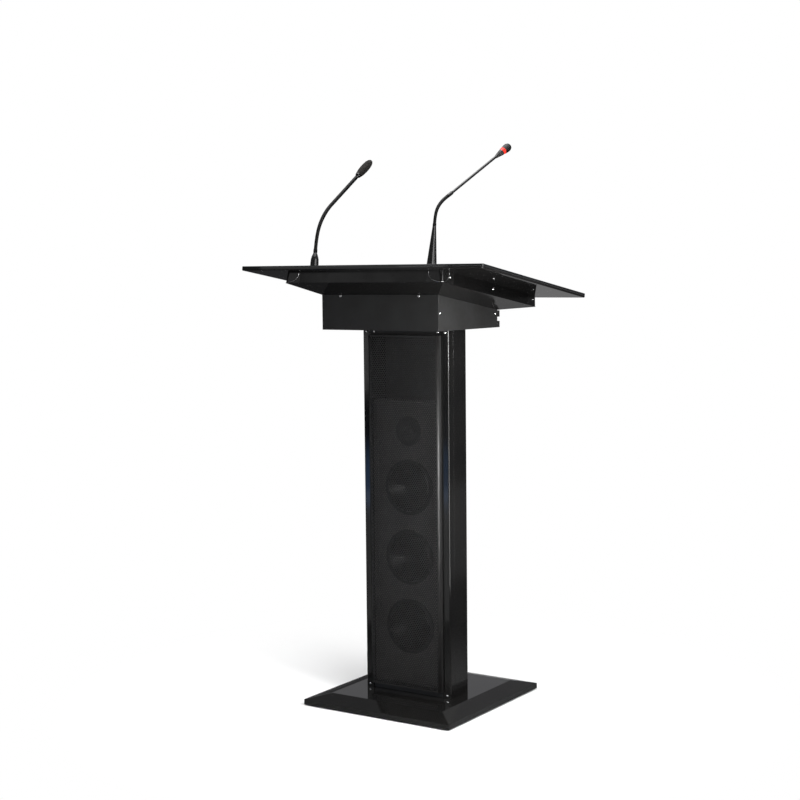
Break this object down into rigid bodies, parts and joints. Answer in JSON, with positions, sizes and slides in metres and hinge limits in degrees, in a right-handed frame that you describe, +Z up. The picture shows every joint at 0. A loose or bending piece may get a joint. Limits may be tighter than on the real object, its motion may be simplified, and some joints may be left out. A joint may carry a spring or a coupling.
{
  "type": "lectern stand",
  "caption": "Free-standing black lectern with a bevelled base, flat loudspeaker column, amplifier box, sloping desk and gooseneck microphones.",
  "frame": {"origin": "centre of the base, on the face the feet stand on", "axes": "+Z up, -Y towards the audience, +Y towards the speaker, +X to the right seen from the audience"},
  "size_m": [0.72, 0.5312, 1.4524],
  "materials": {
    "gloss_lacquer": "black piano lacquer on board",
    "gloss_black": "gloss black",
    "satin_black": "satin black powder coat",
    "powder_black": "black powder coat with a fine grain",
    "tray_black": "semi-gloss black",
    "grille_black": "matt black perforated sheet",
    "bare_steel": "plain steel",
    "zinc_steel": "zinc plated",
    "rubber": "matt",
    "black_board": "board stained black",
    "basket_black": "satin black",
    "cone_paper": "black coated cone",
    "matt_plastic": "black moulded",
    "dome_silk": "black coated dome",
    "knob_plastic": "black with a light pointer",
    "green_lamp": "green lens",
    "rocker_plastic": "black",
    "circuit_board": "green board",
    "fin_aluminium": "plain",
    "transformer_tape": "taped winding",
    "desk_glass": "glass painted black behind",
    "bright_screw": "bright",
    "mic_black": "semi-gloss black",
    "neck_black": "black flexible metal hose",
    "foam": "dark foam",
    "red_light": "lit red ring",
    "capsule_mesh": "black mesh"
  },
  "bodies": {
    "stand": {"base_plate": "gloss_lacquer", "ballast_plate": "bare_steel", "rubber_feet": "rubber", "base_bolts": "zinc_steel", "post_left": "gloss_black", "post_right": "gloss_black", "side_panel_left": "gloss_black", "side_panel_right": "gloss_black", "rear_cover": "satin_black", "foot_plate": "bare_steel", "top_plate": "bare_steel", "front_rails": "satin_black", "grille_pan": "grille_black", "baffle_board": "black_board", "baffle_battens": "black_board", "chamber_lid": "black_board", "woofer_baskets": "basket_black", "woofer_cones": "cone_paper", "tweeter_frame": "matt_plastic", "tweeter_dome": "dome_silk", "driver_screws": "basket_black", "console_shell": "powder_black", "column_bolts": "zinc_steel", "console_lid": "powder_black", "control_panel": "satin_black", "dial_bodies": "bare_steel", "jack_sockets": "matt_plastic", "power_lamp": "green_lamp", "switch_bezel": "matt_plastic", "mains_inlet": "matt_plastic", "amplifier_board": "circuit_board", "heat_sink": "fin_aluminium", "power_transformer": "transformer_tape", "hopper_cowl": "gloss_black", "tray_floor": "satin_black", "tray_cross_rails": "tray_black", "tray_side_rails": "tray_black", "corner_caps": "gloss_black", "desk_frame": "gloss_lacquer", "desk_glass": "desk_glass", "trim_screws": "bright_screw", "mic_sockets": "matt_plastic"},
    "mic_left_base": {"mic_left_boot": "mic_black"},
    "mic_left_lower": {"mic_left_neck_lower": "neck_black"},
    "mic_left_middle": {"mic_left_neck_middle": "neck_black"},
    "mic_left_head": {"mic_left_neck_upper": "neck_black", "mic_left_collar": "mic_black", "mic_left_windscreen": "foam"},
    "mic_right_base": {"mic_right_boot": "mic_black"},
    "mic_right_lower": {"mic_right_neck_lower": "neck_black"},
    "mic_right_middle": {"mic_right_neck_middle": "neck_black"},
    "mic_right_head": {"mic_right_tube": "mic_black", "mic_right_head": "mic_black", "mic_right_light_ring": "red_light", "mic_right_capsule": "capsule_mesh"},
    "knob_mic_one": {"knob_mic_one": "knob_plastic"},
    "knob_mic_two": {"knob_mic_two": "knob_plastic"},
    "knob_music": {"knob_music": "knob_plastic"},
    "power_rocker": {"power_rocker": "rocker_plastic"}
  },
  "joints": [
    {"name": "mic_left_swivel", "type": "hinge", "parent": "stand", "child": "mic_left_base", "pos_m": [-0.177, -0.21973, 1.14019], "axis": [0, 0.1487, 0.9889], "range_deg": [-90, 90]},
    {"name": "mic_left_bend_low", "type": "hinge", "parent": "mic_left_base", "child": "mic_left_lower", "pos_m": [-0.177, -0.2129, 1.18568], "axis": [-0.9511, 0.3056, -0.0459], "range_deg": [-25, 15]},
    {"name": "mic_left_bend_middle", "type": "hinge", "parent": "mic_left_lower", "child": "mic_left_middle", "pos_m": [-0.17382, -0.19168, 1.26091], "axis": [-0.9511, 0.3056, -0.0459], "range_deg": [-35, 25]},
    {"name": "mic_left_bend_high", "type": "hinge", "parent": "mic_left_middle", "child": "mic_left_head", "pos_m": [-0.16492, -0.15732, 1.30523], "axis": [-0.9511, 0.3056, -0.0459], "range_deg": [-40, 25]},
    {"name": "mic_right_swivel", "type": "hinge", "parent": "stand", "child": "mic_right_base", "pos_m": [0.177, -0.21973, 1.14019], "axis": [0, 0.1487, 0.9889], "range_deg": [-90, 90]},
    {"name": "mic_right_bend_low", "type": "hinge", "parent": "mic_right_base", "child": "mic_right_lower", "pos_m": [0.177, -0.20412, 1.24402], "axis": [-0.9511, 0.3056, -0.0459], "range_deg": [-25, 10]},
    {"name": "mic_right_bend_middle", "type": "hinge", "parent": "mic_right_lower", "child": "mic_right_middle", "pos_m": [0.17888, -0.19193, 1.28615], "axis": [-0.9511, 0.3056, -0.0459], "range_deg": [-35, 20]},
    {"name": "mic_right_bend_high", "type": "hinge", "parent": "mic_right_middle", "child": "mic_right_head", "pos_m": [0.18622, -0.16528, 1.31162], "axis": [-0.9511, 0.3056, -0.0459], "range_deg": [-35, 20]},
    {"name": "knob_mic_one_turn", "type": "hinge", "parent": "stand", "child": "knob_mic_one", "pos_m": [-0.054, 0.115, 1.008], "axis": [0, 1, 0], "range_deg": [-140, 140]},
    {"name": "knob_mic_two_turn", "type": "hinge", "parent": "stand", "child": "knob_mic_two", "pos_m": [-0.02, 0.115, 1.008], "axis": [0, 1, 0], "range_deg": [-140, 140]},
    {"name": "knob_music_turn", "type": "hinge", "parent": "stand", "child": "knob_music", "pos_m": [0.014, 0.115, 1.008], "axis": [0, 1, 0], "range_deg": [-140, 140]},
    {"name": "power_rocker_tilt", "type": "hinge", "parent": "stand", "child": "power_rocker", "pos_m": [0.08, 0.115, 1.008], "axis": [0, 0, 1], "range_deg": [-7, 7]}
  ]
}
